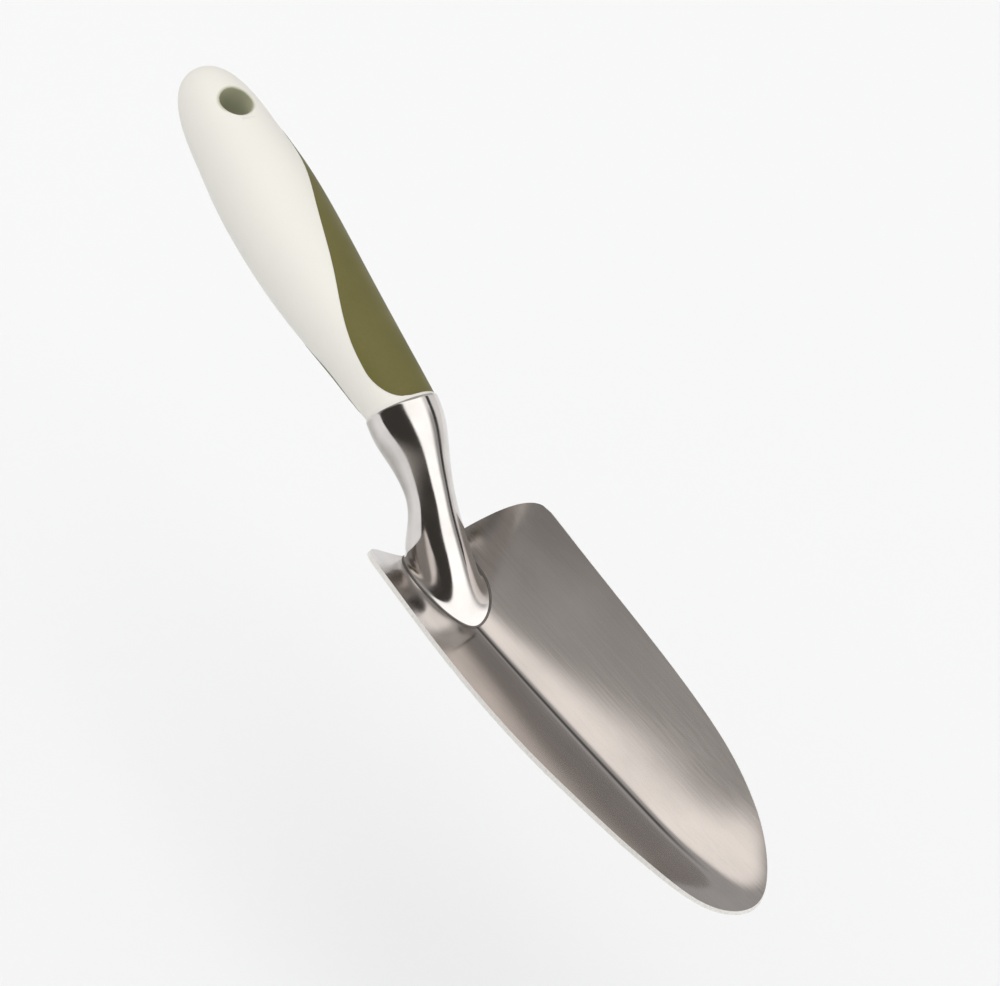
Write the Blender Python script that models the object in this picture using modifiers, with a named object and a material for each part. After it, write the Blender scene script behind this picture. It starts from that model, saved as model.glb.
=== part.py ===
"""A hand trowel: a pressed stainless blade, a stainless neck welded on its heel, and a two-colour handle.

Run it with: blender --background --python part.py

Drawn in millimetres with x from the handle's butt to the blade's tip, y across the blade and z up out of
its trough. x = 0 and z = 0 lie near the heel. place_on_ground then moves everything, so that the origin
is under the middle of the whole trowel, on the surface it lies on.
"""

import math

import bmesh
import bpy
import numpy as np

MM = 0.001
GAP = 0.3  # between neighbouring pieces

# Blade
BLADE_HALF_WIDTH = 30.9
TIP_X = 161.6
WIDEST_X = 37.0  # the sides run parallel behind it, and close in on the tip before it
SIDE_POWER = 2.6
SHEET = 1.5
WALL_POWER = 1.25  # 1 would be a plain V, 2 a parabola
VALLEY_ROUND = 3.0  # how far from the middle the V's rounded bottom reaches
VALLEY_Z = [(-20, -4.2), (30, -4.2), (80, -2.5), (112, -0.7), (131, 0.9), (149, 4.0), (162, 6.0)]
WALL_RISE = [
    (-20, 0.37), (10, 0.352), (37, 0.313), (71, 0.270), (104, 0.258), (131, 0.25), (146, 0.19), (162, 0.03)
]
HEEL_CORNER_X = 16.3
HEEL_DEPTH = 20.5  # from the corner back to the middle of the heel
HEEL_POWER = 1.4
HEEL_ROUND = 0.42
TIP_ARC_X = 146.0  # the tip's arc starts here on each side
BLADE_ROWS = 30
BLADE_COLUMNS = 23  # odd, so the middle one is a flat strip that the trowel lies on

# Neck: its ridge (x, z), its underside (x, z) and its half-width, from the ferrule's rim to the tongue's nose
NECK_SECTIONS = [
    ((-18.9, 46.7), (-30.5, 27.3), 11.5),
    ((-13.4, 43.2), (-25.6, 24.2), 11.5),
    ((-7.9, 37.4), (-19.7, 22.2), 9.9),
    ((-2.5, 30.1), (-12.9, 18.9), 8.0),
    ((2.0, 24.9), (-8.6, 15.4), 7.3),
    ((5.5, 20.8), (-6.3, 11.0), 7.7),
    ((9.0, 16.3), (-5.2, 4.0), 8.7),
    ((13.5, 11.2), (-5.2, -3.0), 9.6),
    ((18.5, 6.8), (-3.0, -9.0), 10.2),
    ((24.5, 2.4), (10.0, -10.0), 9.6),
    ((29.0, -1.2), (22.0, -10.0), 7.2),
    ((32.0, -4.5), (30.0, -9.0), 2.5),
]
FOOT_GAP = 0.4  # between the blade and the neck's foot
UNDER_BLADE_X = (-30.0, 44.0)  # the cutter that shapes the foot reaches this far along, across and down
UNDER_BLADE_HALF_WIDTH = 24.0
UNDER_BLADE_Z = -30.0
UNDER_BLADE_ROWS = 28
UNDER_BLADE_COLUMNS = 19
NECK_RINGS = 28
NECK_SIDES = 28
SOCKET_RADIUS = 9.2
SOCKET_DEPTH = 8.0
SOCKET_OVERSHOOT = 5.0  # of its cutter past the ferrule's rim

# Tang: a rod from inside the neck up the middle of the handle
TANG_RADIUS = 4.0
TANG_IN_NECK = 13.0
TANG_IN_HANDLE = 80.0
TANG_SLOPE = math.radians(13.0)
TANG_BORE_OVERSHOOT = 0.5  # past each end of the tang

# Handle: the middle of its sections (x, z) and their half-width
BUTT_X = -155.0
AXIS_Z = [(-156, 71.8), (-132, 64.0), (-104, 55.4), (-75, 47.3), (-46, 41.6), (-24.7, 37.0)]
HALF_WIDTH = [(-156, 13.2), (-132, 13.9), (-113, 15.8), (-97, 16.2), (-75, 15.2), (-46, 12.6), (-24.7, 11.0)]
THICKNESS_RATIO = 0.93
BUTT_ROUND = 26.0  # length of the rounded butt
BUTT_POWER = 2.3
TILT_LENGTH = 16.0  # over which the sections tilt to the ferrule's rim
HANDLE_RINGS = 30
HANDLE_SIDES = 30
SPIGOT_RADIUS = SOCKET_RADIUS - GAP
SPIGOT_LENGTH = SOCKET_DEPTH - GAP

# Hanging hole through the handle
HOLE_X = -135.4
HOLE_RADIUS = 5.2
HOLE_MOUTH = 2.4  # the mouth's rounding
HOLE_LIFT = 0.6  # of the rounding above the skin in the middle, because the skin falls away at the sides
HOLE_OVERSHOOT = 4.0  # of its cutter above the skin

# Soft grip: the angles around the handle where its edges run, in degrees from the top towards +y
GRIP_FRONT = [
    (-136, 88), (-125, 61), (-110, 40), (-96, 20), (-81, 4), (-68, -10), (-53, -32), (-44, -43), (-34, -49)
]
GRIP_BACK = [
    (-136, 94), (-125, 122), (-110, 144), (-96, 165), (-81, 186), (-68, 212), (-56, 238), (-45, 246),
    (-34, 240),
]
GRIP_START_X = -136.0
GRIP_END_X = -26.0
GRIP_CORNER = 10.0
GRIP_CORNER_TURN = 42.0
GRIP_DEPTH = 2.2
RECESS_MARGIN = 0.4  # round the grip's edge and under it
RECESS_OVERSHOOT = 1.5  # of its cutter above the skin
GRIP_ROWS = 32
GRIP_COLUMNS = 18


def clear_scene():
    for old in list(bpy.data.objects):
        bpy.data.objects.remove(old, do_unlink=True)


def new_collection(name, hidden=False):
    collection = bpy.data.collections.new(name)
    collection.hide_render = hidden
    bpy.context.scene.collection.children.link(collection)
    return collection


def new_material(name, color, roughness, metallic):
    material = bpy.data.materials.new(name)
    material.use_nodes = True
    shader = material.node_tree.nodes["Principled BSDF"]
    shader.inputs["Base Color"].default_value = (*color, 1.0)
    shader.inputs["Roughness"].default_value = roughness
    shader.inputs["Metallic"].default_value = metallic
    return material


def object_from(mesh_maker, name, collection, material=None):
    """Makes an object from a function that fills a bmesh in millimetres."""
    shape = bmesh.new()
    mesh_maker(shape)
    bmesh.ops.recalc_face_normals(shape, faces=shape.faces)
    bmesh.ops.scale(shape, vec=(MM, MM, MM), verts=shape.verts)
    mesh = bpy.data.meshes.new(name)
    shape.to_mesh(mesh)
    shape.free()
    mesh.shade_smooth()
    mesh.set_sharp_from_angle(angle=math.radians(35))
    obj = bpy.data.objects.new(name, mesh)
    collection.objects.link(obj)
    if material:
        mesh.materials.append(material)
    else:
        obj.hide_render = True
        obj.display_type = "WIRE"
    return obj


def cut(obj, cutter):
    modifier = obj.modifiers.new("cut_" + cutter.name, "BOOLEAN")
    modifier.operation = "DIFFERENCE"
    modifier.solver = "EXACT"
    modifier.object = cutter


def through(points):
    """The natural cubic spline through the points (x, value), as a function."""
    xs, values = np.array(points, float).T
    steps = np.diff(xs)
    matrix = np.eye(len(xs))
    turns = np.zeros(len(xs))
    for i in range(1, len(xs) - 1):
        matrix[i, i - 1 : i + 2] = steps[i - 1], 2 * (steps[i - 1] + steps[i]), steps[i]
        turns[i] = 6 * ((values[i + 1] - values[i]) / steps[i] - (values[i] - values[i - 1]) / steps[i - 1])
    bends = np.linalg.solve(matrix, turns)

    def value_at(x):
        i = int(np.clip(np.searchsorted(xs, x) - 1, 0, len(xs) - 2))
        t = (x - xs[i]) / steps[i]
        bent = ((1 - t) ** 3 - (1 - t)) * bends[i] + (t**3 - t) * bends[i + 1]
        return (1 - t) * values[i] + t * values[i + 1] + bent * steps[i] ** 2 / 6

    return value_at


valley_z = through(VALLEY_Z)
wall_rise = through(WALL_RISE)
axis_z = through(AXIS_Z)
body_half_width = through(HALF_WIDTH)
grip_front = through(GRIP_FRONT)
grip_back = through(GRIP_BACK)


# ---- blade ----


def trough_z(x, y):
    """Height of the blade's upper surface: a V with a rounded bottom."""
    spread = (y * y + VALLEY_ROUND**2) ** (WALL_POWER / 2) - VALLEY_ROUND**WALL_POWER
    return valley_z(x) + wall_rise(x) * spread


def side_y(x):
    s = max(0.0, (x - WIDEST_X) / (TIP_X - WIDEST_X))
    return BLADE_HALF_WIDTH * math.sqrt(max(0.0, 1 - s**SIDE_POWER))


def heel_x(y):
    inside = max(0.0, 1 - (abs(y) / BLADE_HALF_WIDTH) ** HEEL_POWER)
    return HEEL_CORNER_X - HEEL_DEPTH * inside**HEEL_ROUND


def tip_x(y):
    return WIDEST_X + (TIP_X - WIDEST_X) * (1 - (y / BLADE_HALF_WIDTH) ** 2) ** (1 / SIDE_POWER)


def blade_point(along, across):
    """along runs 0 to 1 from heel to tip, across -1 to 1 from side to side."""
    y = across * side_y(HEEL_CORNER_X + (TIP_ARC_X - HEEL_CORNER_X) * along)
    start = heel_x(across * BLADE_HALF_WIDTH)
    end = tip_x(across * side_y(TIP_ARC_X))
    x = start + (end - start) * along
    return x, y, trough_z(x, y)


def add_grid(shape, rows):
    """Faces between rows of points, all rows of one length."""
    verts = [[shape.verts.new(point) for point in row] for row in rows]
    for row, following in zip(verts, verts[1:]):
        for i in range(len(row) - 1):
            shape.faces.new((row[i], row[i + 1], following[i + 1], following[i]))
    return verts


def make_blade_sheet(shape):
    steps = np.linspace(-1, 1, BLADE_COLUMNS + 1)
    across = 0.7 * steps + 0.3 * steps**3
    add_grid(shape, [[blade_point(t, u) for u in across] for t in np.linspace(0, 1, BLADE_ROWS + 1)])


def add_blade(parts, steel):
    blade = object_from(make_blade_sheet, "blade", parts, steel)
    if blade.data.polygons[0].normal.z < 0:
        blade.data.flip_normals()
    sheet = blade.modifiers.new("sheet", "SOLIDIFY")
    sheet.thickness = SHEET * MM
    sheet.offset = -1
    sheet.use_even_offset = True
    return blade


def make_under_blade(shape):
    """Everything below the trough's surface around the neck's foot."""
    rows = []
    for x in np.linspace(*UNDER_BLADE_X, UNDER_BLADE_ROWS):
        across = np.linspace(-UNDER_BLADE_HALF_WIDTH, UNDER_BLADE_HALF_WIDTH, UNDER_BLADE_COLUMNS)
        rows.append([(x, y, trough_z(x, y) + FOOT_GAP) for y in across])
    add_grid(shape, rows)
    walls = bmesh.ops.extrude_face_region(shape, geom=shape.faces[:])
    for vert in [item for item in walls["geom"] if isinstance(item, bmesh.types.BMVert)]:
        vert.co.z = UNDER_BLADE_Z


# ---- rings ----


def ring(middle, up, half_width, half_height, sides):
    """An ellipse in the plane of the unit vector up (x, z) and the y axis."""
    points = []
    for angle in np.linspace(0, 2 * math.pi, sides, endpoint=False):
        rise = math.cos(angle) * half_height
        points.append((middle[0] + rise * up[0], math.sin(angle) * half_width, middle[1] + rise * up[1]))
    return points


def add_loft(shape, rings):
    """A closed body through the rings, with a flat face at each end."""
    verts = add_grid(shape, [points + points[:1] for points in rings])
    shape.faces.new(verts[0][:-1])
    shape.faces.new(verts[-1][:-1])
    bmesh.ops.remove_doubles(shape, verts=shape.verts, dist=1e-5)


def add_cylinder(shape, start, end, radius, sides=32):
    """A round bar in the middle plane, between two points (x, z)."""
    direction = (np.array(end) - start) / math.dist(start, end)
    up = (-direction[1], direction[0])
    add_loft(shape, [ring(start, up, radius, radius, sides), ring(end, up, radius, radius, sides)])


# ---- neck ----

RIM_RIDGE, RIM_UNDERSIDE, _ = NECK_SECTIONS[0]
RIM_MIDDLE = (np.array(RIM_RIDGE) + RIM_UNDERSIDE) / 2
RIM_UP = (np.array(RIM_RIDGE) - RIM_UNDERSIDE) / math.dist(RIM_RIDGE, RIM_UNDERSIDE)
RIM_TO_NECK = np.array((RIM_UP[1], -RIM_UP[0]))


def neck_rings():
    flat = np.array([(*ridge, *underside, width) for ridge, underside, width in NECK_SECTIONS])
    steps = np.hypot(*np.diff((flat[:, :2] + flat[:, 2:4]) / 2, axis=0).T)
    stations = np.concatenate([[0], np.cumsum(steps)])
    columns = [through(list(zip(stations, column))) for column in flat.T]
    rings = []
    for station in np.linspace(0, stations[-1], NECK_RINGS):
        ridge_x, ridge_z, under_x, under_z, half_width = [column(station) for column in columns]
        height = math.hypot(ridge_x - under_x, ridge_z - under_z)
        up = ((ridge_x - under_x) / height, (ridge_z - under_z) / height)
        middle = ((ridge_x + under_x) / 2, (ridge_z + under_z) / 2)
        rings.append(ring(middle, up, half_width, height / 2, NECK_SIDES))
    return rings


def make_neck(shape):
    add_loft(shape, neck_rings())


def make_socket(shape):
    outside = RIM_MIDDLE - SOCKET_OVERSHOOT * RIM_TO_NECK
    add_cylinder(shape, outside, RIM_MIDDLE + SOCKET_DEPTH * RIM_TO_NECK, SOCKET_RADIUS)


# ---- tang ----

TANG_DIRECTION = np.array((math.cos(TANG_SLOPE), -math.sin(TANG_SLOPE)))


def tang_maker(radius, extra):
    start = RIM_MIDDLE - (TANG_IN_HANDLE + extra) * TANG_DIRECTION
    end = RIM_MIDDLE + (TANG_IN_NECK + extra) * TANG_DIRECTION
    return lambda shape: add_cylinder(shape, start, end, radius, 24)


# ---- handle ----


def handle_section(x):
    """Middle, unit vector up and half-width of the handle's section at x."""
    slope = math.atan((axis_z(x + 0.5) - axis_z(x - 0.5)))
    rim_slope = math.atan2(-RIM_UP[0], RIM_UP[1])
    t = np.clip((x - RIM_MIDDLE[0]) / TILT_LENGTH + 1, 0, 1)
    slope += (rim_slope - slope) * t * t * (3 - 2 * t)
    from_butt = np.clip((x - BUTT_X) / BUTT_ROUND, 0, 1)
    rounding = (1 - (1 - from_butt) ** BUTT_POWER) ** (1 / BUTT_POWER)
    up = np.array((-math.sin(slope), math.cos(slope)))
    return np.array((x, axis_z(x))), up, body_half_width(x) * rounding


def skin_point(x, angle, depth):
    """A point on the handle at x, at an angle in degrees from its top towards +y, depth below the skin."""
    middle, up, half_width = handle_section(x)
    rise = math.cos(math.radians(angle)) * (half_width * THICKNESS_RATIO - depth)
    y = math.sin(math.radians(angle)) * (half_width - depth)
    return middle[0] + rise * up[0], y, middle[1] + rise * up[1]


def make_handle(shape):
    end_x = RIM_MIDDLE[0] - GAP / RIM_TO_NECK[0]
    along = np.linspace(0.02, 1, HANDLE_RINGS) ** 1.5
    rings = []
    for x in BUTT_X + (end_x - BUTT_X) * along:
        middle, up, half_width = handle_section(x)
        rings.append(ring(middle, up, half_width, half_width * THICKNESS_RATIO, HANDLE_SIDES))
    for reach in (0.0, SPIGOT_LENGTH):
        rings.append(ring(middle + reach * RIM_TO_NECK, RIM_UP, SPIGOT_RADIUS, SPIGOT_RADIUS, HANDLE_SIDES))
    add_loft(shape, rings)


def make_hole(shape):
    """A round hole that widens in a quarter circle at each mouth."""
    middle, up, half_width = handle_section(HOLE_X)
    along_axis = (up[1], -up[0])
    surface = half_width * THICKNESS_RATIO
    rings = []
    for side in (-1, 1):
        profile = [(surface + HOLE_OVERSHOOT, HOLE_RADIUS + HOLE_MOUTH)]
        for turn in np.radians((90, 67.5, 45, 22.5, 0)):
            reach = surface + HOLE_LIFT - HOLE_MOUTH * (1 - math.sin(turn))
            profile.append((reach, HOLE_RADIUS + HOLE_MOUTH * (1 - math.cos(turn))))
        for reach, radius in profile[::-side]:
            centre = middle + side * reach * up
            rings.append(ring(centre, along_axis, radius, radius, 28))
    add_loft(shape, rings)


def grip_limits(x, margin):
    """The angles between which the grip lies at x, widened by margin millimetres."""
    before_corner = min(x, GRIP_END_X - GRIP_CORNER)
    t = np.clip((x - GRIP_END_X) / GRIP_CORNER + 1, 0, 1)
    inset = GRIP_CORNER_TURN * (1 - math.sqrt(1 - t * t))
    inset -= math.degrees(margin / handle_section(x)[2])
    return grip_front(before_corner) + inset, grip_back(before_corner) - inset


def grip_maker(margin, outer_depth, inner_depth):
    """A strip of the handle's skin between two depths."""

    def make(shape):
        steps = np.linspace(0, 1, GRIP_ROWS + 1)
        along = 0.6 * steps + 0.4 * np.sin(steps * math.pi / 2)
        length = GRIP_END_X - GRIP_START_X
        bodies = []
        for depth in (outer_depth, inner_depth):
            rows = []
            for t in along:
                x = GRIP_START_X + length * t
                angles = np.linspace(*grip_limits(x, margin), GRIP_COLUMNS + 1)
                rows.append([skin_point(x + margin * (2 * t - 1), angle, depth) for angle in angles])
            bodies.append(add_grid(shape, rows))
        outer, inner = bodies
        for a, b in ((outer[0], inner[0]), (outer[-1], inner[-1])):
            for i in range(GRIP_COLUMNS):
                shape.faces.new((a[i], a[i + 1], b[i + 1], b[i]))
        for column in (0, GRIP_COLUMNS):
            for i in range(GRIP_ROWS):
                outer_side = (outer[i][column], outer[i + 1][column])
                shape.faces.new((*outer_side, inner[i + 1][column], inner[i][column]))

    return make


# ---- the trowel ----


def place_on_ground(objects):
    """Moves everything so that the origin is under the middle of the parts' box."""
    bpy.context.view_layer.update()
    graph = bpy.context.evaluated_depsgraph_get()
    corners = []
    for obj in objects:
        if not obj.hide_render:
            corners += [vert.co[:] for vert in obj.evaluated_get(graph).to_mesh().vertices]
    low = np.min(corners, axis=0)
    high = np.max(corners, axis=0)
    shift = (-(low[0] + high[0]) / 2, 0.0, -low[2])
    for obj in objects:
        obj.location = shift


def main():
    clear_scene()
    parts = new_collection("hand_trowel")
    cutters = new_collection("cutters", hidden=True)
    satin = new_material("satin_stainless", (0.55, 0.52, 0.50), 0.3, 1.0)
    polished = new_material("polished_stainless", (0.6, 0.58, 0.56), 0.12, 1.0)
    rod = new_material("mild_steel", (0.4, 0.4, 0.4), 0.4, 1.0)
    cream = new_material("cream_plastic", (0.8, 0.78, 0.72), 0.4, 0.0)
    olive = new_material("olive_rubber", (0.16, 0.15, 0.05), 0.5, 0.0)

    add_blade(parts, satin)
    neck = object_from(make_neck, "neck", parts, polished)
    handle = object_from(make_handle, "handle_core", parts, cream)
    object_from(tang_maker(TANG_RADIUS, 0.0), "tang", parts, rod)
    object_from(grip_maker(0.0, 0.0, GRIP_DEPTH), "soft_grip", parts, olive)

    tang_bore = object_from(tang_maker(TANG_RADIUS + GAP, TANG_BORE_OVERSHOOT), "tang_bore", cutters)
    cut(neck, object_from(make_under_blade, "under_blade", cutters))
    cut(neck, object_from(make_socket, "socket", cutters))
    cut(neck, tang_bore)
    cut(handle, tang_bore)
    cut(handle, object_from(make_hole, "hanging_hole", cutters))
    recess = grip_maker(RECESS_MARGIN, -RECESS_OVERSHOOT, GRIP_DEPTH + RECESS_MARGIN)
    cut(handle, object_from(recess, "grip_recess", cutters))
    place_on_ground([*parts.objects, *cutters.objects])


main()
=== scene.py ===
"""Looks for the hand trowel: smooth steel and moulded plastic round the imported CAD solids.

Shapes are drawn in millimetres on the CAD drawing's axes: x from the handle's butt to the blade's tip,
y across the blade and z up out of its trough, with x = 0 and z = 0 near the blade's heel.
"""

import math

import bmesh
import bpy
import numpy as np
from mathutils import Matrix, Vector


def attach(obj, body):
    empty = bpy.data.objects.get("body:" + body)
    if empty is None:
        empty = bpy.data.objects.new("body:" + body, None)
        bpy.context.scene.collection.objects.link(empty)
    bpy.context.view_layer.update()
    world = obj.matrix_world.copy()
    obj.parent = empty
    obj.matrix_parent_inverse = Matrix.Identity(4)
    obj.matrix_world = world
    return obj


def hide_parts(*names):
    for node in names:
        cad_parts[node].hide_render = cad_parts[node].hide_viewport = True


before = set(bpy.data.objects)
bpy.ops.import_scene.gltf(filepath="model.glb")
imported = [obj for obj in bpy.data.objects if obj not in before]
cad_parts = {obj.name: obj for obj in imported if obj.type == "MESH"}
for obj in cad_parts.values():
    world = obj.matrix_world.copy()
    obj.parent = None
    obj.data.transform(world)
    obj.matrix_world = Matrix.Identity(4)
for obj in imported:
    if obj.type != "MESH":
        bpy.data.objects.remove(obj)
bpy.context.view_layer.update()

MM = 0.001
BODY = "root"

ORIGIN = Vector((-3.153, 0, 5.756)) * MM  # the drawing's zero in the row frame

# Blade, as in the CAD
BLADE_HALF_WIDTH = 30.9
TIP_X = 161.6
WIDEST_X = 37.0
SIDE_POWER = 2.6
SHEET = 1.35  # 0.15 less than in the CAD, so that the round bottom stays inside the CAD's box
WALL_POWER = 1.25
VALLEY_ROUND = 3.0
VALLEY_Z = [(-20, -4.2), (30, -4.2), (80, -2.5), (112, -0.7), (131, 0.9), (149, 4.0), (162, 6.0)]
WALL_RISE = [
    (-20, 0.37), (10, 0.352), (37, 0.313), (71, 0.270), (104, 0.258), (131, 0.25), (146, 0.19), (162, 0.03)
]
HEEL_CORNER_X = 16.3
HEEL_DEPTH = 20.5
HEEL_POWER = 1.4
HEEL_ROUND = 0.42
TIP_ARC_X = 146.0
BLADE_ROWS = 131
BLADE_COLUMNS = 81
BLADE_EDGE_ROUND = 0.35

# Painted shade: the dark line along the valley's bottom. Its half-widths, and where it fades out towards
# the tip
VALLEY_SHADE_INNER = 0.15
VALLEY_SHADE_OUTER = 0.75
VALLEY_SHADE_FADE_X = 118.0
VALLEY_SHADE_END_X = 142.0

# Neck: ridge (x, z), underside (x, z) and half-width of its sections, from the ferrule's rim to the foot
NECK_SECTIONS = [
    ((-18.9, 46.7), (-30.5, 27.3), 11.5),
    ((-13.4, 43.2), (-25.6, 24.2), 11.5),
    ((-7.9, 37.4), (-19.7, 22.2), 9.9),
    ((-2.5, 30.1), (-12.9, 18.9), 8.0),
    ((2.0, 24.9), (-8.6, 15.4), 7.3),
    ((8.0, 17.4), (-5.7, 7.5), 8.2),
    ((16.5, 9.3), (-5.2, 1.5), 9.3),
]
# The foot's rings round the trough: rear x, nose x, half-width, height above the trough
FOOT_RINGS = [
    (-5.2, 27.4, 9.6, 1.5),
    (-5.3, 28.9, 10.3, 0.25),
    (-5.3, 29.8, 10.8, 0.0),
]
FOOT_RING_STEP = 1.6
FOOT_SUNK = 0.6  # the neck's last ring lies this far inside the sheet
FOOT_FROM_HEEL = 0.2  # the foot stays this far inside the blade's heel
# The ferrule's lip from the inside out: size as a share of the rim's, and depth into the neck
LIP_RINGS = [(0.9, 6.0), (0.9, 0.2), (0.93, -0.25), (0.985, -0.25), (1.0, 0.15)]
NECK_SIDES = 96
NECK_RING_STEP = 0.6
NECK_SMOOTHING = 50  # passes that even out the curves between the sections
# The dark tube round the tongue, which paints the shade along its joint with the sheet: radius and sides
SEAM_SHADE_RADIUS = 0.4
SEAM_SHADE_SIDES = 8

# Handle, as in the CAD
BUTT_X = -155.0
AXIS_Z = [(-156, 71.8), (-132, 64.0), (-104, 55.4), (-75, 47.3), (-46, 41.6), (-24.7, 37.0)]
HALF_WIDTH = [
    (-156, 13.2), (-132, 13.9), (-113, 15.8), (-97, 16.2), (-75, 15.2), (-46, 12.6), (-24.7, 11.0)
]
THICKNESS_RATIO = 0.93
BUTT_ROUND = 26.0
BUTT_POWER = 2.3
TILT_LENGTH = 16.0
SHELL_FROM_RIM = 0.2  # between the shell's shoulder and the ferrule's rim
SHELL_CLOSE_TO_BUTT = 0.02  # where the first ring lies, because the butt's own section is a point
SHELL_RINGS = 120
SHELL_RING_POWER = 1.6  # over 1 crowds the rings at the butt
HANDLE_SIDES = 96
SPIGOT_RINGS = [(0.9, 0.0), (0.85, 3.0)]  # size as a share of the shoulder's, and reach into the ferrule
HOLE_X = -135.4
HOLE_RADIUS = 5.2
HOLE_MOUTH = 2.4
HOLE_MOUTH_LIFT = 0.6  # the rounding ends this far outside the skin, which curves away beside the hole
HOLE_CUTTER_REACH = 4.0  # how far the cutter reaches past the skin
HOLE_SIDES = 64
HOLE_MOUTH_RINGS = 10
# Soft grip: the angles around the handle where its edges run, in degrees from the top towards +y
GRIP_FRONT = [
    (-136, 88), (-125, 61), (-110, 40), (-96, 20), (-81, 4), (-68, -10), (-53, -32), (-44, -43), (-34, -49)
]
GRIP_BACK = [
    (-136, 94), (-125, 122), (-110, 144), (-96, 165), (-81, 186), (-68, 212), (-56, 238), (-45, 246),
    (-34, 240),
]
GRIP_START_X = -136.0
GRIP_DEPTH = 1.5
GRIP_PROUD = 0.12  # of the cream shell
GRIP_EDGE_ROUND = 0.3
GRIP_END_X = -26.0
GRIP_CORNER = 10.0
GRIP_CORNER_TURN = 42.0
GRIP_ROWS = 120
GRIP_COLUMNS = 60

# Camera: where it stands from the drawing's zero, in millimetres, and how it is turned
CAMERA_PLACE = (586.5, -533.8, 688.9)
CAMERA_BACK = (0.5573, -0.5300, 0.6392)
CAMERA_ROLL = math.radians(14.3)
CAMERA_LENS = 126.0
SENSOR_WIDTH = 36.0

# Softbox to the camera's right: its sides, as angles from the way back to the camera
SOFTBOX_LEFT = math.radians(19)
SOFTBOX_RIGHT = math.radians(72)

FILL_FROM = (0.1, -0.6, 0.79)
FILL_ANGLE = math.radians(80)
FILL_STRENGTH = 1.72
FLOOR_Z = -0.2  # metres, like FLOOR_REACH
FLOOR_REACH = 3.0


def through(points):
    """The natural cubic spline through the points (x, value), as a function. A value may be an array."""
    xs = np.array([x for x, _ in points], float)
    values = np.array([value for _, value in points], float)
    steps = np.diff(xs)
    matrix = np.eye(len(xs))
    turns = np.zeros(values.shape)
    for i in range(1, len(xs) - 1):
        matrix[i, i - 1 : i + 2] = steps[i - 1], 2 * (steps[i - 1] + steps[i]), steps[i]
        slope_before = (values[i] - values[i - 1]) / steps[i - 1]
        slope_after = (values[i + 1] - values[i]) / steps[i]
        turns[i] = 6 * (slope_after - slope_before)
    bends = np.linalg.solve(matrix, turns)

    def value_at(x):
        i = int(np.clip(np.searchsorted(xs, x) - 1, 0, len(xs) - 2))
        t = (x - xs[i]) / steps[i]
        bent = ((1 - t) ** 3 - (1 - t)) * bends[i] + (t**3 - t) * bends[i + 1]
        return (1 - t) * values[i] + t * values[i + 1] + bent * steps[i] ** 2 / 6

    return value_at


valley_z = through(VALLEY_Z)
wall_rise = through(WALL_RISE)
axis_z = through(AXIS_Z)
body_half_width = through(HALF_WIDTH)
grip_front = through(GRIP_FRONT)
grip_back = through(GRIP_BACK)


def trough_z(x, y):
    spread = (y * y + VALLEY_ROUND**2) ** (WALL_POWER / 2) - VALLEY_ROUND**WALL_POWER
    return valley_z(x) + wall_rise(x) * spread


def side_y(x):
    s = max(0.0, (x - WIDEST_X) / (TIP_X - WIDEST_X))
    return BLADE_HALF_WIDTH * math.sqrt(max(0.0, 1 - s**SIDE_POWER))


def heel_x(y):
    inside = max(0.0, 1 - (abs(y) / BLADE_HALF_WIDTH) ** HEEL_POWER)
    return HEEL_CORNER_X - HEEL_DEPTH * inside**HEEL_ROUND


def tip_x(y):
    return WIDEST_X + (TIP_X - WIDEST_X) * (1 - (y / BLADE_HALF_WIDTH) ** 2) ** (1 / SIDE_POWER)


def blade_point(along, across):
    y = across * side_y(HEEL_CORNER_X + (TIP_ARC_X - HEEL_CORNER_X) * along)
    start = heel_x(across * BLADE_HALF_WIDTH)
    end = tip_x(across * side_y(TIP_ARC_X))
    x = start + (end - start) * along
    return x, y, trough_z(x, y)


# ---- mesh helpers ----


def add_grid(shape, rows):
    verts = [[shape.verts.new(point) for point in row] for row in rows]
    for row, following in zip(verts, verts[1:]):
        for i in range(len(row) - 1):
            shape.faces.new((row[i], row[i + 1], following[i + 1], following[i]))
    return verts


def add_loft(shape, rings):
    """A closed body through the rings, with a face at each end."""
    verts = add_grid(shape, [[*points, points[0]] for points in rings])
    bmesh.ops.remove_doubles(shape, verts=shape.verts, dist=1e-5)
    for row in (verts[0], verts[-1]):
        alive = [vert for vert in row if vert.is_valid]
        shape.faces.new(alive)


def object_from(mesh_maker, name, sharp_angle=35):
    shape = bmesh.new()
    mesh_maker(shape)
    bmesh.ops.recalc_face_normals(shape, faces=shape.faces)
    bmesh.ops.scale(shape, vec=(MM, MM, MM), verts=shape.verts)
    bmesh.ops.translate(shape, vec=ORIGIN, verts=shape.verts)
    mesh = bpy.data.meshes.new(name)
    shape.to_mesh(mesh)
    shape.free()
    mesh.shade_smooth()
    mesh.set_sharp_from_angle(angle=math.radians(sharp_angle))
    obj = bpy.data.objects.new(name, mesh)
    bpy.context.scene.collection.objects.link(obj)
    return obj


def apply_modifiers(obj):
    bpy.context.view_layer.update()
    mesh = bpy.data.meshes.new_from_object(obj.evaluated_get(bpy.context.evaluated_depsgraph_get()))
    obj.modifiers.clear()
    obj.data = mesh


def add_bevel(obj, width, segments, angle):
    """Rounds the edges that turn by more than angle degrees. width is in millimetres."""
    edge = obj.modifiers.new("edge", "BEVEL")
    edge.width = width * MM
    edge.segments = segments
    edge.limit_method = "ANGLE"
    edge.angle_limit = math.radians(angle)
    apply_modifiers(obj)
    obj.data.shade_smooth()


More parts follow.
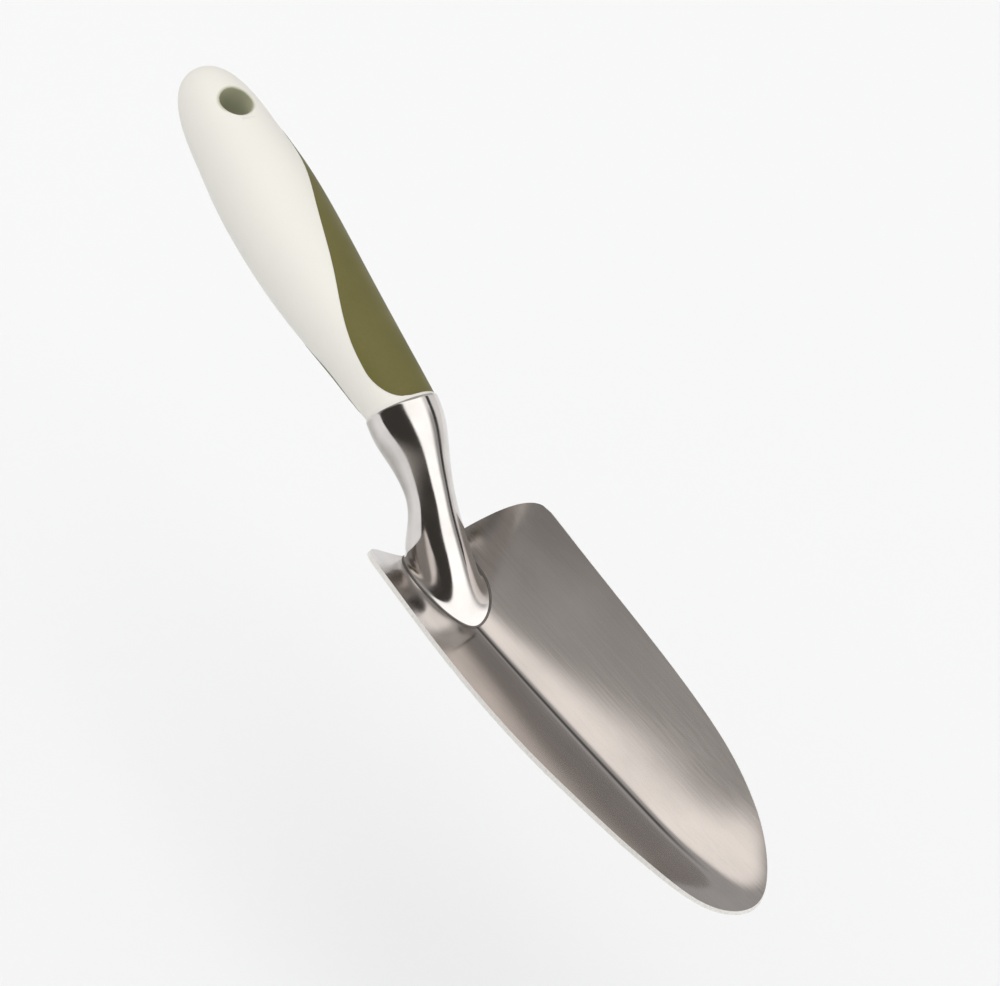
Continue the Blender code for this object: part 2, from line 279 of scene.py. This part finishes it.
def plane_ring(middle, up, half_width, half_height, sides):
    """An ellipse in the plane of the unit vector up (x, z) and the y axis."""
    points = []
    for angle in np.linspace(0, 2 * math.pi, sides, endpoint=False):
        rise = math.cos(angle) * half_height
        points.append((middle[0] + rise * up[0], math.sin(angle) * half_width, middle[1] + rise * up[1]))
    return points


# ---- blade ----


def make_blade_sheet(shape):
    steps = np.linspace(-1, 1, BLADE_COLUMNS)
    across = 0.5 * steps + 0.5 * np.sin(steps * math.pi / 2)
    along = np.linspace(0, 1, BLADE_ROWS)
    add_grid(shape, [[blade_point(t, u) for u in across] for t in along])


def make_blade():
    blade = object_from(make_blade_sheet, "trowel_blade", 60)
    if blade.data.polygons[0].normal.z < 0:
        blade.data.flip_normals()
    sheet = blade.modifiers.new("sheet", "SOLIDIFY")
    sheet.thickness = SHEET * MM
    sheet.offset = -1
    sheet.use_even_offset = True
    sheet.material_offset_rim = 1
    blade.data.materials.append(satin_steel())
    blade.data.materials.append(ground_edge_highlight())
    apply_modifiers(blade)
    blade.data.set_sharp_from_angle(angle=math.radians(50))
    add_bevel(blade, BLADE_EDGE_ROUND, 3, 50)
    return blade


# ---- neck ----


def foot_ring(rear_x, nose_x, half_width, height):
    """An oval ring at a height above the trough, cut off by the heel. It starts at the nose."""
    middle = (rear_x + nose_x) / 2
    reach = (nose_x - rear_x) / 2
    points = []
    for angle in np.linspace(0, 2 * math.pi, NECK_SIDES, endpoint=False):
        y = math.sin(angle) * half_width
        x = max(middle + math.cos(angle) * reach, heel_x(y) + FOOT_FROM_HEEL)
        points.append((x, y, trough_z(x, y) + height))
    return points


def neck_rings():
    rings = []
    for ridge, underside, half_width in NECK_SECTIONS:
        height = math.dist(ridge, underside)
        up = (np.array(ridge) - underside) / height
        rings.append(plane_ring((np.array(ridge) + underside) / 2, up, half_width, height / 2, NECK_SIDES))
    rings += [foot_ring(*numbers) for numbers in FOOT_RINGS]
    rings = np.array(rings)
    steps = np.linalg.norm(np.diff(rings.mean(axis=1), axis=0), axis=1)
    steps[-2:] = FOOT_RING_STEP
    stations = np.concatenate([[0], np.cumsum(steps)])
    ring_at = through(list(zip(stations, rings.reshape(len(rings), -1))))
    count = round(stations[-1] / NECK_RING_STEP)
    smooth = np.array([ring_at(station) for station in np.linspace(0, stations[-1], count)])
    smooth = smooth.reshape(count, NECK_SIDES, 3)
    for _ in range(NECK_SMOOTHING):
        smooth[1:-1] += 0.25 * (smooth[:-2] + smooth[2:] - 2 * smooth[1:-1])
    return [*smooth, smooth[-1] - (0, 0, FOOT_SUNK)]


def make_neck(shape):
    rim, *rings = neck_rings()
    middle = rim.mean(axis=0)
    inward = (rings[0] - rim).mean(axis=0)
    inward /= np.linalg.norm(inward)
    lip = [middle + (rim - middle) * size + inward * depth for size, depth in LIP_RINGS]
    add_loft(shape, [*lip, *rings])


def make_seam_shade(shape):
    """The dark line where the neck's tongue meets the sheet: a thin tube that paints the shade along the
    joint.
    """
    outline = neck_rings()[-2]
    before = np.roll(outline, 1, axis=0)
    after = np.roll(outline, -1, axis=0)
    rows = []
    for point, last, following in zip(outline, before, after):
        tangent = Vector(following - last).normalized()
        aside = tangent.cross(Vector((0, 0, 1))).normalized()
        rise = aside.cross(tangent)
        turns = np.linspace(0, 2 * math.pi, SEAM_SHADE_SIDES, endpoint=False)
        offsets = [math.cos(turn) * np.array(aside) + math.sin(turn) * np.array(rise) for turn in turns]
        rows.append([point + SEAM_SHADE_RADIUS * offset for offset in offsets])
    add_grid(shape, [[*row, row[0]] for row in (*rows, rows[0])])
    bmesh.ops.remove_doubles(shape, verts=shape.verts, dist=1e-5)


# ---- handle ----

RIM_RIDGE, RIM_UNDERSIDE, _ = NECK_SECTIONS[0]
RIM_MIDDLE = (np.array(RIM_RIDGE) + RIM_UNDERSIDE) / 2
RIM_UP = (np.array(RIM_RIDGE) - RIM_UNDERSIDE) / math.dist(RIM_RIDGE, RIM_UNDERSIDE)
RIM_TO_NECK = np.array((RIM_UP[1], -RIM_UP[0]))


def handle_section(x):
    """The middle (x, z), the unit vector up (x, z) and the half-width of the handle's section at x."""
    slope = math.atan(axis_z(x + 0.5) - axis_z(x - 0.5))
    rim_slope = math.atan2(-RIM_UP[0], RIM_UP[1])
    t = np.clip((x - RIM_MIDDLE[0]) / TILT_LENGTH + 1, 0, 1)
    slope += (rim_slope - slope) * t * t * (3 - 2 * t)
    from_butt = np.clip((x - BUTT_X) / BUTT_ROUND, 0, 1)
    rounding = (1 - (1 - from_butt) ** BUTT_POWER) ** (1 / BUTT_POWER)
    up = np.array((-math.sin(slope), math.cos(slope)))
    return np.array((x, axis_z(x))), up, body_half_width(x) * rounding


def skin_point(x, angle, depth):
    """A point depth under the handle's skin, at an angle in degrees from the top towards +y."""
    middle, up, half_width = handle_section(x)
    rise = math.cos(math.radians(angle)) * (half_width * THICKNESS_RATIO - depth)
    y = math.sin(math.radians(angle)) * (half_width - depth)
    return middle[0] + rise * up[0], y, middle[1] + rise * up[1]


def make_handle_body(shape):
    start_x = BUTT_X + SHELL_CLOSE_TO_BUTT
    end_x = RIM_MIDDLE[0] - SHELL_FROM_RIM
    along = np.linspace(0, 1, SHELL_RINGS) ** SHELL_RING_POWER
    rings = []
    for x in start_x + (end_x - start_x) * along:
        middle, up, half_width = handle_section(x)
        rings.append(plane_ring(middle, up, half_width, half_width * THICKNESS_RATIO, HANDLE_SIDES))
    middle, up, shoulder = handle_section(end_x)
    for size, reach in SPIGOT_RINGS:
        centre = middle + reach * RIM_TO_NECK
        half_width = shoulder * size
        rings.append(plane_ring(centre, up, half_width, half_width * THICKNESS_RATIO, HANDLE_SIDES))
    add_loft(shape, rings)


def make_hole(shape):
    middle, up, half_width = handle_section(HOLE_X)
    along_axis = (up[1], -up[0])
    surface = half_width * THICKNESS_RATIO
    rings = []
    for side in (-1, 1):
        profile = [(surface + HOLE_CUTTER_REACH, HOLE_RADIUS + HOLE_MOUTH)]
        for turn in np.radians(np.linspace(90, 0, HOLE_MOUTH_RINGS)):
            reach = surface + HOLE_MOUTH_LIFT - HOLE_MOUTH * (1 - math.sin(turn))
            profile.append((reach, HOLE_RADIUS + HOLE_MOUTH * (1 - math.cos(turn))))
        for reach, radius in profile[::-side]:
            rings.append(plane_ring(middle + side * reach * up, along_axis, radius, radius, HOLE_SIDES))
    add_loft(shape, rings)


HOLE_MIDDLE, HOLE_UP, _ = handle_section(HOLE_X)
HOLE_CENTRE = ORIGIN + Vector((HOLE_MIDDLE[0], 0, HOLE_MIDDLE[1])) * MM
HOLE_DIRECTION = (HOLE_UP[0], 0, HOLE_UP[1])
# Colour of the painted shade on the hanging hole's wall
HOLE_WALL_SHADE = (0.36, 0.37, 0.22)


def cut(obj, cutter):
    modifier = obj.modifiers.new("cut", "BOOLEAN")
    modifier.operation = "DIFFERENCE"
    modifier.solver = "EXACT"
    modifier.object = cutter
    apply_modifiers(obj)
    bpy.data.objects.remove(cutter, do_unlink=True)


def grip_limits(x):
    """The angles of the grip's two edges at x, which close in round its far end."""
    before_corner = min(x, GRIP_END_X - GRIP_CORNER)
    t = np.clip((x - GRIP_END_X) / GRIP_CORNER + 1, 0, 1)
    inset = GRIP_CORNER_TURN * (1 - math.sqrt(1 - t * t))
    return grip_front(before_corner) + inset, grip_back(before_corner) - inset


def make_grip_body(shape):
    steps = np.linspace(0, 1, GRIP_ROWS + 1)
    along = GRIP_START_X + (GRIP_END_X - GRIP_START_X) * (0.6 * steps + 0.4 * np.sin(steps * math.pi / 2))
    layers = []
    for depth in (-GRIP_PROUD, GRIP_DEPTH):
        rows = []
        for x in along:
            angles = np.linspace(*grip_limits(x), GRIP_COLUMNS + 1)
            rows.append([skin_point(x, angle, depth) for angle in angles])
        layers.append(add_grid(shape, rows))
    outer, inner = layers
    for row in (0, -1):
        for i in range(GRIP_COLUMNS):
            shape.faces.new((outer[row][i], outer[row][i + 1], inner[row][i + 1], inner[row][i]))
    for column in (0, -1):
        for i in range(GRIP_ROWS):
            corner_rows = outer[i], outer[i + 1], inner[i + 1], inner[i]
            shape.faces.new([row[column] for row in corner_rows])


def make_grip():
    grip = object_from(make_grip_body, "olive_grip", 40)
    add_bevel(grip, GRIP_EDGE_ROUND, 3, 60)
    return grip


# ---- materials ----


class Shading:
    """A node tree, and the nodes that materials and the world both use."""

    def __init__(self, owner):
        owner.use_nodes = True
        self.nodes = owner.node_tree.nodes
        self.links = owner.node_tree.links

    def combined(self, operation, first, second):
        math_node = self.nodes.new("ShaderNodeMath")
        math_node.operation = operation
        self.links.new(first, math_node.inputs[0])
        self.links.new(second, math_node.inputs[1])
        return math_node.outputs["Value"]

    def vector_math(self, operation, vector, constant):
        node = self.nodes.new("ShaderNodeVectorMath")
        node.operation = operation
        self.links.new(vector, node.inputs[0])
        node.inputs[1].default_value = constant
        return node

    def dot(self, vector, axis):
        return self.vector_math("DOT_PRODUCT", vector, axis).outputs["Value"]

    def mixed(self, factor, under, color):
        """The colour under, which may be a plain colour, mixed so far with another."""
        blend = self.nodes.new("ShaderNodeMix")
        blend.data_type = "RGBA"
        self.links.new(factor, blend.inputs["Factor"])
        if isinstance(under, tuple):
            blend.inputs["A"].default_value = (*under, 1)
        else:
            self.links.new(under, blend.inputs["A"])
        blend.inputs["B"].default_value = (*color, 1)
        return blend.outputs["Result"]


class Finish(Shading):
    """One procedural material. Its textures are laid in the row frame, in metres."""

    def __init__(self, name, color, metal):
        self.material = bpy.data.materials.new(name)
        super().__init__(self.material)
        self.shader = self.nodes["Principled BSDF"]
        self.shader.inputs["Metallic"].default_value = metal
        self.color = color
        self.place = self.nodes.new("ShaderNodeTexCoord").outputs["Object"]
        self.bumps = None

    def noise(self, size, detail=3.0, stretch=(1, 1, 1)):
        """A noise whose spots are about size metres wide, drawn out along the axes by stretch."""
        mapping = self.nodes.new("ShaderNodeMapping")
        mapping.inputs["Scale"].default_value = [1 / factor for factor in stretch]
        self.links.new(self.place, mapping.inputs["Vector"])
        noise = self.nodes.new("ShaderNodeTexNoise")
        noise.inputs["Scale"].default_value = 0.5 / size
        noise.inputs["Detail"].default_value = detail
        self.links.new(mapping.outputs["Vector"], noise.inputs["Vector"])
        return noise.outputs["Fac"]

    def scaled(self, value, low, high, start=0.3, end=0.7):
        """The value stretched so that start becomes low and end becomes high."""
        ramp = self.nodes.new("ShaderNodeMapRange")
        self.links.new(value, ramp.inputs["Value"])
        for socket, number in (("From Min", start), ("From Max", end), ("To Min", low), ("To Max", high)):
            ramp.inputs[socket].default_value = number
        return ramp.outputs["Result"]

    def tint(self, factor, color):
        """Mixes the colour so far with another."""
        self.color = self.mixed(factor, self.color, color)

    def distance_from_line(self, point, direction):
        """Distance in metres from a line in the row frame."""
        offset = self.vector_math("SUBTRACT", self.place, point).outputs["Vector"]
        aside = self.vector_math("CROSS_PRODUCT", offset, direction).outputs["Vector"]
        length = self.nodes.new("ShaderNodeVectorMath")
        length.operation = "LENGTH"
        self.links.new(aside, length.inputs[0])
        return length.outputs["Value"]

    def coordinate(self, axis):
        """How far a point lies along an axis of the row frame, in metres."""
        return self.dot(self.place, axis)

    def facing_down(self, softness):
        """1 where the surface faces down and 0 where it faces up, mixed where the normal's z is near 0."""
        normal = self.nodes.new("ShaderNodeNewGeometry").outputs["Normal"]
        return self.scaled(self.dot(normal, (0, 0, 1)), 1.0, 0.0, -softness, softness)

    def rough(self, first, *others):
        """Sets the roughness to the sum of the values."""
        for other in others:
            first = self.combined("ADD", first, other)
        self.links.new(first, self.shader.inputs["Roughness"])

    def bump(self, height, depth):
        """Adds relief. depth is the height difference in metres."""
        node = self.nodes.new("ShaderNodeBump")
        node.inputs["Distance"].default_value = depth
        self.links.new(height, node.inputs["Height"])
        if self.bumps:
            self.links.new(self.bumps, node.inputs["Normal"])
        self.bumps = node.outputs["Normal"]

    def done(self):
        if isinstance(self.color, tuple):
            self.shader.inputs["Base Color"].default_value = (*self.color, 1)
        else:
            self.links.new(self.color, self.shader.inputs["Base Color"])
        if self.bumps:
            self.links.new(self.bumps, self.shader.inputs["Normal"])
        return self.material


def satin_steel():
    """Brushed lengthwise, with faint clouds from rolling and handling."""
    finish = Finish("satin_steel", (0.55, 0.51, 0.485), 1.0)
    brushing = finish.noise(0.0003, 2.0, (60, 1, 1))
    clouds = finish.noise(0.006, 4.0, (2.5, 1, 1))
    finish.tint(finish.scaled(clouds, 0.0, 0.75), (0.45, 0.42, 0.40))
    finish.tint(finish.scaled(brushing, 0.0, 0.3), (0.62, 0.575, 0.545))
    # Painted shade: a dark line along the valley's bottom, fading out towards the tip
    across = finish.coordinate((0, 1, 0))
    from_left = finish.scaled(across, 0.0, 0.9, -VALLEY_SHADE_OUTER * MM, -VALLEY_SHADE_INNER * MM)
    from_right = finish.scaled(across, 1.0, 0.0, VALLEY_SHADE_INNER * MM, VALLEY_SHADE_OUTER * MM)
    along = finish.coordinate((1, 0, 0))
    before_tip = finish.scaled(along, 1.0, 0.0, VALLEY_SHADE_FADE_X * MM, VALLEY_SHADE_END_X * MM)
    valley_shade = finish.combined("MULTIPLY", finish.combined("MULTIPLY", from_left, from_right), before_tip)
    finish.tint(valley_shade, (0.07, 0.064, 0.06))
    finish.rough(finish.scaled(clouds, 0.09, 0.16), finish.scaled(brushing, 0.0, 0.06))
    finish.bump(brushing, 0.000006)
    return finish.done()


def ground_edge_highlight():
    """The sheet's ground edge: rough, with fine marks, and pale as a painted highlight along the rim."""
    # Painted highlight: the edge's pale, half-metallic colour stands in for light caught on the rounded
    # rim
    finish = Finish("ground_edge_highlight", (0.86, 0.84, 0.81), 0.35)
    marks = finish.noise(0.0004, 2.0)
    finish.tint(finish.scaled(marks, 0.0, 0.5), (0.62, 0.60, 0.57))
    finish.rough(finish.scaled(marks, 0.4, 0.6))
    finish.bump(marks, 0.00003)
    return finish.done()


def polished_steel():
    """Mirror polish with a slight waviness, fine scratches and fingermarks, and painted shade in patches
    where it faces down.
    """
    finish = Finish("polished_steel", (0.74, 0.71, 0.69), 1.0)
    waves = finish.noise(0.004, 1.0)
    scratches = finish.noise(0.0002, 2.0, (12, 1, 1))
    marks = finish.noise(0.005, 4.0)
    finish.tint(finish.scaled(marks, 0.0, 0.4), (0.5, 0.47, 0.445))
    # Painted shade: the steel is darkened in patches where it faces down
    painted_underside_shade = finish.combined("MULTIPLY", finish.facing_down(0.15), finish.scaled(marks, 0.5, 1.0))
    finish.tint(painted_underside_shade, (0.34, 0.315, 0.295))
    finish.rough(finish.scaled(marks, 0.06, 0.13), finish.scaled(scratches, 0.0, 0.05))
    finish.bump(waves, 0.00004)
    finish.bump(scratches, 0.000002)
    return finish.done()


def seam_shade_steel():
    """Dark steel for the line round the tongue: painted shade along the joint, with lighter blotches."""
    finish = Finish("seam_shade_steel", (0.12, 0.11, 0.1), 0.8)
    blotches = finish.noise(0.0015, 3.0)
    finish.tint(finish.scaled(blotches, 0.0, 0.8), (0.26, 0.24, 0.22))
    finish.rough(finish.scaled(blotches, 0.35, 0.6))
    finish.bump(blotches, 0.00002)
    return finish.done()


def cream_plastic():
    """Matt moulded plastic with a fine spark-eroded grain. The hanging hole's wall has painted shade,
    darker and greener.
    """
    finish = Finish("cream_plastic", (0.765, 0.75, 0.695), 0.0)
    clouds = finish.noise(0.012, 3.0)
    grain = finish.noise(0.00025, 2.0)
    finish.tint(finish.scaled(clouds, 0.0, 0.6), (0.74, 0.73, 0.685))
    finish.tint(finish.scaled(grain, 0.0, 0.25), (0.80, 0.785, 0.73))
    # Painted shade: the hanging hole's wall is darkened and tinted green, fading out across its rounded
    # mouth
    to_hole = finish.distance_from_line(HOLE_CENTRE, HOLE_DIRECTION)
    hole_shade = finish.scaled(to_hole, 0.75, 0.0, HOLE_RADIUS * 1.04 * MM, HOLE_RADIUS * 1.22 * MM)
    finish.tint(hole_shade, HOLE_WALL_SHADE)
    finish.rough(finish.scaled(clouds, 0.42, 0.5), finish.scaled(grain, 0.0, 0.1))
    finish.bump(grain, 0.000012)
    return finish.done()


def olive_rubber():
    """Soft moulded rubber: a coarser grain, in clouds of slightly different colour and polish."""
    finish = Finish("olive_rubber", (0.122, 0.110, 0.027), 0.0)
    clouds = finish.noise(0.007, 4.0)
    grain = finish.noise(0.0004, 3.0)
    finish.tint(finish.scaled(clouds, 0.0, 0.7), (0.105, 0.096, 0.023))
    finish.tint(finish.scaled(grain, 0.0, 0.4), (0.148, 0.134, 0.036))
    finish.rough(finish.scaled(clouds, 0.46, 0.58), finish.scaled(grain, 0.0, 0.1))
    finish.bump(grain, 0.00003)
    return finish.done()


def mill_steel():
    """The rod inside the handle: drawn steel with dark scale."""
    finish = Finish("mill_steel", (0.42, 0.41, 0.40), 1.0)
    scale = finish.noise(0.002, 4.0, (6, 1, 1))
    finish.tint(finish.scaled(scale, 0.0, 0.8), (0.2, 0.19, 0.18))
    finish.rough(finish.scaled(scale, 0.3, 0.55))
    finish.bump(scale, 0.00002)
    return finish.done()


def floor_paper():
    finish = Finish("floor_paper", (0.84, 0.85, 0.86), 0.0)
    finish.shader.inputs["Roughness"].default_value = 0.9
    fibres = finish.noise(0.0015, 3.0)
    finish.tint(finish.scaled(fibres, 0.0, 0.15), (0.82, 0.83, 0.84))
    return finish.done()


def main():
    blade = make_blade()
    neck = object_from(make_neck, "trowel_neck", 50)
    neck.data.materials.append(polished_steel())
    shell = object_from(make_handle_body, "handle_shell", 40)
    cut(shell, object_from(make_hole, "hole_cutter"))
    shell.data.materials.clear()
    shell.data.materials.append(cream_plastic())
    grip = make_grip()
    grip.data.materials.append(olive_rubber())
    # A dark tube along the tongue's joint with the sheet: painted shade
    seam = object_from(make_seam_shade, "tongue_seam_shade", 60)
    seam.data.materials.append(seam_shade_steel())
    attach(seam, BODY)
    for piece, node, slot in (
        (blade, "blade", "blade_steel"),
        (neck, "neck", "neck_steel"),
        (shell, "handle_core", "cream_plastic"),
        (grip, "soft_grip", "olive_rubber"),
    ):
        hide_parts(node)
        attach(piece, BODY)
    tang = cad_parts["tang"]
    tang.data.materials.clear()
    tang.data.materials.append(mill_steel())


# ---- camera, floor and light ----


def add_camera():
    back = Vector(CAMERA_BACK).normalized()
    level = Vector((0, 0, 1)).cross(back).normalized()
    right = Matrix.Rotation(CAMERA_ROLL, 3, back) @ level
    up = back.cross(right)
    data = bpy.data.cameras.new("camera")
    data.lens = CAMERA_LENS
    data.sensor_width = SENSOR_WIDTH
    camera = bpy.data.objects.new("camera", data)
    bpy.context.scene.collection.objects.link(camera)
    turn = Matrix((right, up, back)).transposed().to_4x4()
    camera.matrix_world = Matrix.Translation(ORIGIN + Vector(CAMERA_PLACE) * MM) @ turn
    bpy.context.scene.camera = camera
    return right, up, back


class WorldShade(Shading):
    """Builds the studio's brightness from the direction, out of soft-edged regions."""

    def __init__(self, world):
        super().__init__(world)
        self.direction = self.nodes.new("ShaderNodeTexCoord").outputs["Generated"]

    def along(self, axis):
        return self.dot(self.direction, axis)

    def step(self, value, low, high):
        """0 below low and 1 above high, or the other way round if low is the larger."""
        ramp = self.nodes.new("ShaderNodeMapRange")
        ramp.interpolation_type = "SMOOTHSTEP"
        self.links.new(value, ramp.inputs["Value"])
        ramp.inputs["From Min"].default_value = min(low, high)
        ramp.inputs["From Max"].default_value = max(low, high)
        ramp.inputs["To Min"].default_value = 0.0 if low < high else 1.0
        ramp.inputs["To Max"].default_value = 1.0 if low < high else 0.0
        return ramp.outputs["Result"]

    def near(self, axes, place, inner, outer):
        """The region round a direction, fully in within inner degrees of it and out beyond outer.

        place is (to the right, upwards) in degrees from the way back to the camera.
        """
        right, up, back = axes
        angle = math.radians(math.hypot(*place))
        aside = (place[0] * right + place[1] * up) / math.hypot(*place)
        direction = math.sin(angle) * aside + math.cos(angle) * back
        low, high = math.cos(math.radians(outer)), math.cos(math.radians(inner))
        return self.step(self.along(direction), low, high)

    def times(self, first, *others):
        for other in others:
            first = self.combined("MULTIPLY", first, other)
        return first


def grey(value, warmth=0.0):
    return (value * (1 + warmth), value, value * (1 - warmth))


def add_world(right, up, back):
    """Pale walls, with each region laid over the ones before it."""
    world = bpy.data.worlds.new("studio")
    bpy.context.scene.world = world
    shade = WorldShade(world)
    axes = (right, up, back)
    to_camera = shade.along(back)
    to_right = shade.along(right)
    to_up = shade.along(up)

    dim_front = shade.near(axes, (-15, 20), 55, 75)
    half_light = shade.near(axes, (-7, 87), 40, 60)
    # The black round the camera lies between two slanted edges, with a dim part below the lower one.
    near_black = shade.near(axes, (-8, -5), 56, 64)
    over_black = shade.along(up - 0.2 * right)
    under_black = shade.along(up - 0.175 * right + 0.23 * back)
    below = shade.times(near_black, shade.step(under_black, 0.0, -0.05))
    black = shade.times(
        near_black, shade.step(over_black, 0.62, 0.45), shade.step(under_black, -0.42, -0.06)
    )
    overhead = shade.near(axes, (-20, 80), 12, 22)
    far_side = shade.near(axes, (45, 106), 20, 36)
    right_side = shade.times(
        shade.step(to_right, 0.75, 0.85), shade.step(to_up, 0.5, 0.35), shade.step(to_camera, -0.3, -0.2)
    )
    gap = shade.times(
        shade.step(to_camera, 0.04, -0.02),
        shade.step(to_camera, -0.22, -0.16),
        shade.step(to_right, 0.7, 0.85),
    )
    left_edge = shade.along(math.cos(SOFTBOX_LEFT) * right - math.sin(SOFTBOX_LEFT) * back + 0.75 * up)
    right_edge = shade.along(math.cos(SOFTBOX_RIGHT) * right - math.sin(SOFTBOX_RIGHT) * back)
    softbox = shade.times(
        shade.step(left_edge, -0.06, 0.08),
        shade.step(right_edge, 0.14, -0.12),
        shade.step(to_up, 0.68, 0.58),
    )

    color = grey(0.8, 0.02)
    for region, brightness, warmth in (
        (dim_front, 0.22, 0.02),
        (half_light, 0.46, 0.02),
        (below, 0.4, 0.08),
        (black, 0.045, 0.1),
        (overhead, 1.38, 0.03),
        (far_side, 0.5, 0.0),
        (right_side, 0.4, 0.02),
        (gap, 0.05, 0.0),
        (softbox, 1.5, 0.01),
    ):
        color = shade.mixed(region, color, grey(brightness, warmth))
    shade.links.new(color, shade.nodes["Background"].inputs["Color"])


def add_floor():
    shape = bmesh.new()
    bmesh.ops.create_grid(shape, x_segments=1, y_segments=1, size=FLOOR_REACH)
    mesh = bpy.data.meshes.new("floor")
    shape.to_mesh(mesh)
    shape.free()
    floor = bpy.data.objects.new("floor", mesh)
    floor.location.z = FLOOR_Z
    bpy.context.scene.collection.objects.link(floor)
    mesh.materials.append(floor_paper())


def add_fill():
    """A broad sun for the floor and the plastic. It doesn't show in the steel."""
    light = bpy.data.lights.new("fill", "SUN")
    light.angle = FILL_ANGLE
    light.energy = FILL_STRENGTH
    lamp = bpy.data.objects.new("fill", light)
    lamp.visible_glossy = False
    bpy.context.scene.collection.objects.link(lamp)
    lamp.rotation_euler = Vector(FILL_FROM).to_track_quat("Z", "Y").to_euler()


main()
camera_axes = add_camera()
add_world(*camera_axes)
add_fill()
add_floor()
bpy.context.scene.view_settings.view_transform = "Standard"
